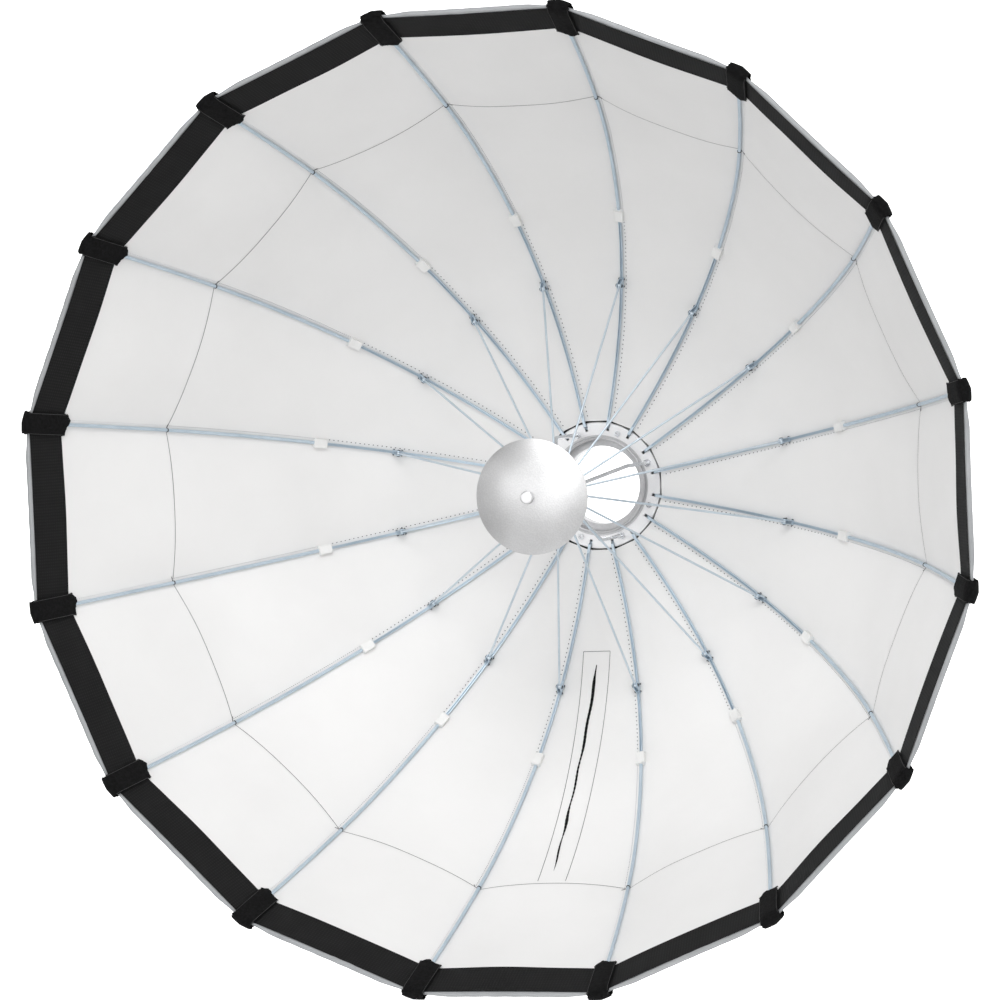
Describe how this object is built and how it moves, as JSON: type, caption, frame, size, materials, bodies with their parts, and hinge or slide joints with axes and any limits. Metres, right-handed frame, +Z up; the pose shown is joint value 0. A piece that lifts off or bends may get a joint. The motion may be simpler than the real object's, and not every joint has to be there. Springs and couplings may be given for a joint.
{
  "type": "octabox",
  "caption": "Deep umbrella-frame light modifier: mount ring, hinged ribs, stretchers on a sliding runner, deflector dish and cloth bowl.",
  "frame": {"origin": "on the axis, at the rear face of the mount ring that seats on the light", "axes": "+Y along the light's axis out of the back of the ring; the mouth faces -Y; +Z up; the ventilation slit's gore is at -Z"},
  "size_m": [1.4606, 0.6374, 1.4606],
  "materials": {
    "silver_plate": "satin",
    "cast_metal": "satin",
    "steel": "satin",
    "black_plastic": "matte",
    "textured_silver": "hammered satin",
    "silver_knob": "satin",
    "blue_grey_steel": "satin",
    "canopy_cloth": "fine woven polyester, white inside and black outside"
  },
  "bodies": {
    "ring": {"mount_flange": "silver_plate", "mount_ring": "cast_metal", "hinge_wire": "steel", "flange_fasteners": "steel", "support_legs": "steel", "leg_hub": "black_plastic"},
    "runner": {"runner": "black_plastic", "pivot_wire": "steel", "dish_stem": "black_plastic", "deflector_dish": "textured_silver"},
    "knob": {"dish_knob": "silver_knob"},
    "collar": {"release_collar": "black_plastic"},
    "rib_01": {"rib_01": "blue_grey_steel"},
    "stretcher_01": {"stretcher_01": "blue_grey_steel"},
    "panel_01": {"panel_01": "canopy_cloth"},
    "rib_02": {"rib_02": "blue_grey_steel"},
    "stretcher_02": {"stretcher_02": "blue_grey_steel"},
    "panel_02": {"panel_02": "canopy_cloth"},
    "rib_03": {"rib_03": "blue_grey_steel"},
    "stretcher_03": {"stretcher_03": "blue_grey_steel"},
    "panel_03": {"panel_03": "canopy_cloth"},
    "rib_04": {"rib_04": "blue_grey_steel"},
    "stretcher_04": {"stretcher_04": "blue_grey_steel"},
    "panel_04": {"panel_04": "canopy_cloth"},
    "rib_05": {"rib_05": "blue_grey_steel"},
    "stretcher_05": {"stretcher_05": "blue_grey_steel"},
    "panel_05": {"panel_05": "canopy_cloth"},
    "rib_06": {"rib_06": "blue_grey_steel"},
    "stretcher_06": {"stretcher_06": "blue_grey_steel"},
    "panel_06": {"panel_06": "canopy_cloth"},
    "rib_07": {"rib_07": "blue_grey_steel"},
    "stretcher_07": {"stretcher_07": "blue_grey_steel"},
    "panel_07": {"panel_07": "canopy_cloth"},
    "rib_08": {"rib_08": "blue_grey_steel"},
    "stretcher_08": {"stretcher_08": "blue_grey_steel"},
    "panel_08": {"panel_08": "canopy_cloth"},
    "rib_09": {"rib_09": "blue_grey_steel"},
    "stretcher_09": {"stretcher_09": "blue_grey_steel"},
    "panel_09": {"panel_09": "canopy_cloth"},
    "rib_10": {"rib_10": "blue_grey_steel"},
    "stretcher_10": {"stretcher_10": "blue_grey_steel"},
    "panel_10": {"panel_10": "canopy_cloth"},
    "rib_11": {"rib_11": "blue_grey_steel"},
    "stretcher_11": {"stretcher_11": "blue_grey_steel"},
    "panel_11": {"panel_11": "canopy_cloth"},
    "rib_12": {"rib_12": "blue_grey_steel"},
    "stretcher_12": {"stretcher_12": "blue_grey_steel"},
    "panel_12": {"panel_12": "canopy_cloth"},
    "rib_13": {"rib_13": "blue_grey_steel"},
    "stretcher_13": {"stretcher_13": "blue_grey_steel"},
    "panel_13": {"panel_13": "canopy_cloth"},
    "rib_14": {"rib_14": "blue_grey_steel"},
    "stretcher_14": {"stretcher_14": "blue_grey_steel"},
    "panel_14": {"panel_14": "canopy_cloth"},
    "rib_15": {"rib_15": "blue_grey_steel"},
    "stretcher_15": {"stretcher_15": "blue_grey_steel"},
    "panel_15": {"panel_15": "canopy_cloth"},
    "rib_16": {"rib_16": "blue_grey_steel"},
    "stretcher_16": {"stretcher_16": "blue_grey_steel"},
    "panel_16": {"panel_16": "canopy_cloth"}
  },
  "joints": [
    {"name": "runner_slide", "type": "slide", "parent": "ring", "child": "runner", "axis": [0, -1, 0], "range_m": [0, 0.24708]},
    {"name": "rib_hinge_01", "type": "hinge", "parent": "ring", "child": "rib_01", "pos_m": [0.01834, -0.0235, 0.09219], "axis": [0.9808, 0, -0.1951], "range_deg": [0, 41.01]},
    {"name": "rib_hinge_02", "type": "hinge", "parent": "ring", "child": "rib_02", "pos_m": [0.05222, -0.0235, 0.07816], "axis": [0.8315, 0, -0.5556], "range_deg": [0, 41.01]},
    {"name": "rib_hinge_03", "type": "hinge", "parent": "ring", "child": "rib_03", "pos_m": [0.07816, -0.0235, 0.05222], "axis": [0.5556, 0, -0.8315], "range_deg": [0, 41.01]},
    {"name": "rib_hinge_04", "type": "hinge", "parent": "ring", "child": "rib_04", "pos_m": [0.09219, -0.0235, 0.01834], "axis": [0.1951, 0, -0.9808], "range_deg": [0, 41.01]},
    {"name": "rib_hinge_05", "type": "hinge", "parent": "ring", "child": "rib_05", "pos_m": [0.09219, -0.0235, -0.01834], "axis": [-0.1951, 0, -0.9808], "range_deg": [0, 41.01]},
    {"name": "rib_hinge_06", "type": "hinge", "parent": "ring", "child": "rib_06", "pos_m": [0.07816, -0.0235, -0.05222], "axis": [-0.5556, 0, -0.8315], "range_deg": [0, 41.01]},
    {"name": "rib_hinge_07", "type": "hinge", "parent": "ring", "child": "rib_07", "pos_m": [0.05222, -0.0235, -0.07816], "axis": [-0.8315, 0, -0.5556], "range_deg": [0, 41.01]},
    {"name": "rib_hinge_08", "type": "hinge", "parent": "ring", "child": "rib_08", "pos_m": [0.01834, -0.0235, -0.09219], "axis": [-0.9808, 0, -0.1951], "range_deg": [0, 41.01]},
    {"name": "rib_hinge_09", "type": "hinge", "parent": "ring", "child": "rib_09", "pos_m": [-0.01834, -0.0235, -0.09219], "axis": [-0.9808, 0, 0.1951], "range_deg": [0, 41.01]},
    {"name": "rib_hinge_10", "type": "hinge", "parent": "ring", "child": "rib_10", "pos_m": [-0.05222, -0.0235, -0.07816], "axis": [-0.8315, 0, 0.5556], "range_deg": [0, 41.01]},
    {"name": "rib_hinge_11", "type": "hinge", "parent": "ring", "child": "rib_11", "pos_m": [-0.07816, -0.0235, -0.05222], "axis": [-0.5556, 0, 0.8315], "range_deg": [0, 41.01]},
    {"name": "rib_hinge_12", "type": "hinge", "parent": "ring", "child": "rib_12", "pos_m": [-0.09219, -0.0235, -0.01834], "axis": [-0.1951, 0, 0.9808], "range_deg": [0, 41.01]},
    {"name": "rib_hinge_13", "type": "hinge", "parent": "ring", "child": "rib_13", "pos_m": [-0.09219, -0.0235, 0.01834], "axis": [0.1951, 0, 0.9808], "range_deg": [0, 41.01]},
    {"name": "rib_hinge_14", "type": "hinge", "parent": "ring", "child": "rib_14", "pos_m": [-0.07816, -0.0235, 0.05222], "axis": [0.5556, 0, 0.8315], "range_deg": [0, 41.01]},
    {"name": "rib_hinge_15", "type": "hinge", "parent": "ring", "child": "rib_15", "pos_m": [-0.05222, -0.0235, 0.07816], "axis": [0.8315, 0, 0.5556], "range_deg": [0, 41.01]},
    {"name": "rib_hinge_16", "type": "hinge", "parent": "ring", "child": "rib_16", "pos_m": [-0.01834, -0.0235, 0.09219], "axis": [0.9808, 0, 0.1951], "range_deg": [0, 41.01]},
    {"name": "stretcher_pivot_01", "type": "hinge", "parent": "runner", "child": "stretcher_01", "pos_m": [0.00546, -0.246, 0.02746], "axis": [-0.9808, 0, 0.1951], "range_deg": [0, 25.7]},
    {"name": "stretcher_pivot_02", "type": "hinge", "parent": "runner", "child": "stretcher_02", "pos_m": [0.01556, -0.246, 0.02328], "axis": [-0.8315, 0, 0.5556], "range_deg": [0, 25.7]},
    {"name": "stretcher_pivot_03", "type": "hinge", "parent": "runner", "child": "stretcher_03", "pos_m": [0.02328, -0.246, 0.01556], "axis": [-0.5556, 0, 0.8315], "range_deg": [0, 25.7]},
    {"name": "stretcher_pivot_04", "type": "hinge", "parent": "runner", "child": "stretcher_04", "pos_m": [0.02746, -0.246, 0.00546], "axis": [-0.1951, 0, 0.9808], "range_deg": [0, 25.7]},
    {"name": "stretcher_pivot_05", "type": "hinge", "parent": "runner", "child": "stretcher_05", "pos_m": [0.02746, -0.246, -0.00546], "axis": [0.1951, 0, 0.9808], "range_deg": [0, 25.7]},
    {"name": "stretcher_pivot_06", "type": "hinge", "parent": "runner", "child": "stretcher_06", "pos_m": [0.02328, -0.246, -0.01556], "axis": [0.5556, 0, 0.8315], "range_deg": [0, 25.7]},
    {"name": "stretcher_pivot_07", "type": "hinge", "parent": "runner", "child": "stretcher_07", "pos_m": [0.01556, -0.246, -0.02328], "axis": [0.8315, 0, 0.5556], "range_deg": [0, 25.7]},
    {"name": "stretcher_pivot_08", "type": "hinge", "parent": "runner", "child": "stretcher_08", "pos_m": [0.00546, -0.246, -0.02746], "axis": [0.9808, 0, 0.1951], "range_deg": [0, 25.7]},
    {"name": "stretcher_pivot_09", "type": "hinge", "parent": "runner", "child": "stretcher_09", "pos_m": [-0.00546, -0.246, -0.02746], "axis": [0.9808, 0, -0.1951], "range_deg": [0, 25.7]},
    {"name": "stretcher_pivot_10", "type": "hinge", "parent": "runner", "child": "stretcher_10", "pos_m": [-0.01556, -0.246, -0.02328], "axis": [0.8315, 0, -0.5556], "range_deg": [0, 25.7]},
    {"name": "stretcher_pivot_11", "type": "hinge", "parent": "runner", "child": "stretcher_11", "pos_m": [-0.02328, -0.246, -0.01556], "axis": [0.5556, 0, -0.8315], "range_deg": [0, 25.7]},
    {"name": "stretcher_pivot_12", "type": "hinge", "parent": "runner", "child": "stretcher_12", "pos_m": [-0.02746, -0.246, -0.00546], "axis": [0.1951, 0, -0.9808], "range_deg": [0, 25.7]},
    {"name": "stretcher_pivot_13", "type": "hinge", "parent": "runner", "child": "stretcher_13", "pos_m": [-0.02746, -0.246, 0.00546], "axis": [-0.1951, 0, -0.9808], "range_deg": [0, 25.7]},
    {"name": "stretcher_pivot_14", "type": "hinge", "parent": "runner", "child": "stretcher_14", "pos_m": [-0.02328, -0.246, 0.01556], "axis": [-0.5556, 0, -0.8315], "range_deg": [0, 25.7]},
    {"name": "stretcher_pivot_15", "type": "hinge", "parent": "runner", "child": "stretcher_15", "pos_m": [-0.01556, -0.246, 0.02328], "axis": [-0.8315, 0, -0.5556], "range_deg": [0, 25.7]},
    {"name": "stretcher_pivot_16", "type": "hinge", "parent": "runner", "child": "stretcher_16", "pos_m": [-0.00546, -0.246, 0.02746], "axis": [-0.9808, 0, -0.1951], "range_deg": [0, 25.7]},
    {"name": "panel_fold_01", "type": "hinge", "parent": "rib_01", "child": "panel_01", "pos_m": [0.03668, -0.0235, 0.08855], "axis": [-0.3593, -0.3443, -0.8674], "range_deg": [0, 15.68], "deforming": ["panel_01"]},
    {"name": "panel_fold_02", "type": "hinge", "parent": "rib_02", "child": "panel_02", "pos_m": [0.06777, -0.0235, 0.06777], "axis": [-0.6639, -0.3443, -0.6639], "range_deg": [0, 15.68], "deforming": ["panel_02"]},
    {"name": "panel_fold_03", "type": "hinge", "parent": "rib_03", "child": "panel_03", "pos_m": [0.08855, -0.0235, 0.03668], "axis": [-0.8674, -0.3443, -0.3593], "range_deg": [0, 15.68], "deforming": ["panel_03"]},
    {"name": "panel_fold_04", "type": "hinge", "parent": "rib_04", "child": "panel_04", "pos_m": [0.09584, -0.0235, 0], "axis": [-0.9389, -0.3443, 0], "range_deg": [0, 15.68], "deforming": ["panel_04"]},
    {"name": "panel_fold_05", "type": "hinge", "parent": "rib_05", "child": "panel_05", "pos_m": [0.08855, -0.0235, -0.03668], "axis": [-0.8674, -0.3443, 0.3593], "range_deg": [0, 15.68], "deforming": ["panel_05"]},
    {"name": "panel_fold_06", "type": "hinge", "parent": "rib_06", "child": "panel_06", "pos_m": [0.06777, -0.0235, -0.06777], "axis": [-0.6639, -0.3443, 0.6639], "range_deg": [0, 15.68], "deforming": ["panel_06"]},
    {"name": "panel_fold_07", "type": "hinge", "parent": "rib_07", "child": "panel_07", "pos_m": [0.03668, -0.0235, -0.08855], "axis": [-0.3593, -0.3443, 0.8674], "range_deg": [0, 15.68], "deforming": ["panel_07"]},
    {"name": "panel_fold_08", "type": "hinge", "parent": "rib_08", "child": "panel_08", "pos_m": [0, -0.0235, -0.09584], "axis": [0, -0.3443, 0.9389], "range_deg": [0, 15.68], "deforming": ["panel_08"]},
    {"name": "panel_fold_09", "type": "hinge", "parent": "rib_09", "child": "panel_09", "pos_m": [-0.03668, -0.0235, -0.08855], "axis": [0.3593, -0.3443, 0.8674], "range_deg": [0, 15.68], "deforming": ["panel_09"]},
    {"name": "panel_fold_10", "type": "hinge", "parent": "rib_10", "child": "panel_10", "pos_m": [-0.06777, -0.0235, -0.06777], "axis": [0.6639, -0.3443, 0.6639], "range_deg": [0, 15.68], "deforming": ["panel_10"]},
    {"name": "panel_fold_11", "type": "hinge", "parent": "rib_11", "child": "panel_11", "pos_m": [-0.08855, -0.0235, -0.03668], "axis": [0.8674, -0.3443, 0.3593], "range_deg": [0, 15.68], "deforming": ["panel_11"]},
    {"name": "panel_fold_12", "type": "hinge", "parent": "rib_12", "child": "panel_12", "pos_m": [-0.09584, -0.0235, 0], "axis": [0.9389, -0.3443, 0], "range_deg": [0, 15.68], "deforming": ["panel_12"]},
    {"name": "panel_fold_13", "type": "hinge", "parent": "rib_13", "child": "panel_13", "pos_m": [-0.08855, -0.0235, 0.03668], "axis": [0.8674, -0.3443, -0.3593], "range_deg": [0, 15.68], "deforming": ["panel_13"]},
    {"name": "panel_fold_14", "type": "hinge", "parent": "rib_14", "child": "panel_14", "pos_m": [-0.06777, -0.0235, 0.06777], "axis": [0.6639, -0.3443, -0.6639], "range_deg": [0, 15.68], "deforming": ["panel_14"]},
    {"name": "panel_fold_15", "type": "hinge", "parent": "rib_15", "child": "panel_15", "pos_m": [-0.03668, -0.0235, 0.08855], "axis": [0.3593, -0.3443, -0.8674], "range_deg": [0, 15.68], "deforming": ["panel_15"]},
    {"name": "panel_fold_16", "type": "hinge", "parent": "rib_16", "child": "panel_16", "pos_m": [0, -0.0235, 0.09584], "axis": [0, -0.3443, -0.9389], "range_deg": [0, 15.68], "deforming": ["panel_16"]},
    {"name": "collar_slide", "type": "slide", "parent": "runner", "child": "collar", "axis": [0, -1, 0], "range_m": [0, 0.012]},
    {"name": "knob_turn", "type": "hinge", "parent": "runner", "child": "knob", "pos_m": [0, -0.42, 0], "axis": [0, -1, 0], "continuous": true}
  ],
  "couplings": [
    {"joint": "rib_hinge_01", "follows": "runner_slide", "rad_per_m": 2.8961},
    {"joint": "rib_hinge_02", "follows": "runner_slide", "rad_per_m": 2.8961},
    {"joint": "rib_hinge_03", "follows": "runner_slide", "rad_per_m": 2.8961},
    {"joint": "rib_hinge_04", "follows": "runner_slide", "rad_per_m": 2.8961},
    {"joint": "rib_hinge_05", "follows": "runner_slide", "rad_per_m": 2.8961},
    {"joint": "rib_hinge_06", "follows": "runner_slide", "rad_per_m": 2.8961},
    {"joint": "rib_hinge_07", "follows": "runner_slide", "rad_per_m": 2.8961},
    {"joint": "rib_hinge_08", "follows": "runner_slide", "rad_per_m": 2.8961},
    {"joint": "rib_hinge_09", "follows": "runner_slide", "rad_per_m": 2.8961},
    {"joint": "rib_hinge_10", "follows": "runner_slide", "rad_per_m": 2.8961},
    {"joint": "rib_hinge_11", "follows": "runner_slide", "rad_per_m": 2.8961},
    {"joint": "rib_hinge_12", "follows": "runner_slide", "rad_per_m": 2.8961},
    {"joint": "rib_hinge_13", "follows": "runner_slide", "rad_per_m": 2.8961},
    {"joint": "rib_hinge_14", "follows": "runner_slide", "rad_per_m": 2.8961},
    {"joint": "rib_hinge_15", "follows": "runner_slide", "rad_per_m": 2.8961},
    {"joint": "rib_hinge_16", "follows": "runner_slide", "rad_per_m": 2.8961},
    {"joint": "stretcher_pivot_01", "follows": "runner_slide", "rad_per_m": 1.8145},
    {"joint": "stretcher_pivot_02", "follows": "runner_slide", "rad_per_m": 1.8145},
    {"joint": "stretcher_pivot_03", "follows": "runner_slide", "rad_per_m": 1.8145},
    {"joint": "stretcher_pivot_04", "follows": "runner_slide", "rad_per_m": 1.8145},
    {"joint": "stretcher_pivot_05", "follows": "runner_slide", "rad_per_m": 1.8145},
    {"joint": "stretcher_pivot_06", "follows": "runner_slide", "rad_per_m": 1.8145},
    {"joint": "stretcher_pivot_07", "follows": "runner_slide", "rad_per_m": 1.8145},
    {"joint": "stretcher_pivot_08", "follows": "runner_slide", "rad_per_m": 1.8145},
    {"joint": "stretcher_pivot_09", "follows": "runner_slide", "rad_per_m": 1.8145},
    {"joint": "stretcher_pivot_10", "follows": "runner_slide", "rad_per_m": 1.8145},
    {"joint": "stretcher_pivot_11", "follows": "runner_slide", "rad_per_m": 1.8145},
    {"joint": "stretcher_pivot_12", "follows": "runner_slide", "rad_per_m": 1.8145},
    {"joint": "stretcher_pivot_13", "follows": "runner_slide", "rad_per_m": 1.8145},
    {"joint": "stretcher_pivot_14", "follows": "runner_slide", "rad_per_m": 1.8145},
    {"joint": "stretcher_pivot_15", "follows": "runner_slide", "rad_per_m": 1.8145},
    {"joint": "stretcher_pivot_16", "follows": "runner_slide", "rad_per_m": 1.8145},
    {"joint": "panel_fold_01", "follows": "runner_slide", "rad_per_m": 1.1069},
    {"joint": "panel_fold_02", "follows": "runner_slide", "rad_per_m": 1.1069},
    {"joint": "panel_fold_03", "follows": "runner_slide", "rad_per_m": 1.1069},
    {"joint": "panel_fold_04", "follows": "runner_slide", "rad_per_m": 1.1069},
    {"joint": "panel_fold_05", "follows": "runner_slide", "rad_per_m": 1.1069},
    {"joint": "panel_fold_06", "follows": "runner_slide", "rad_per_m": 1.1069},
    {"joint": "panel_fold_07", "follows": "runner_slide", "rad_per_m": 1.1069},
    {"joint": "panel_fold_08", "follows": "runner_slide", "rad_per_m": 1.1069},
    {"joint": "panel_fold_09", "follows": "runner_slide", "rad_per_m": 1.1069},
    {"joint": "panel_fold_10", "follows": "runner_slide", "rad_per_m": 1.1069},
    {"joint": "panel_fold_11", "follows": "runner_slide", "rad_per_m": 1.1069},
    {"joint": "panel_fold_12", "follows": "runner_slide", "rad_per_m": 1.1069},
    {"joint": "panel_fold_13", "follows": "runner_slide", "rad_per_m": 1.1069},
    {"joint": "panel_fold_14", "follows": "runner_slide", "rad_per_m": 1.1069},
    {"joint": "panel_fold_15", "follows": "runner_slide", "rad_per_m": 1.1069},
    {"joint": "panel_fold_16", "follows": "runner_slide", "rad_per_m": 1.1069}
  ]
}
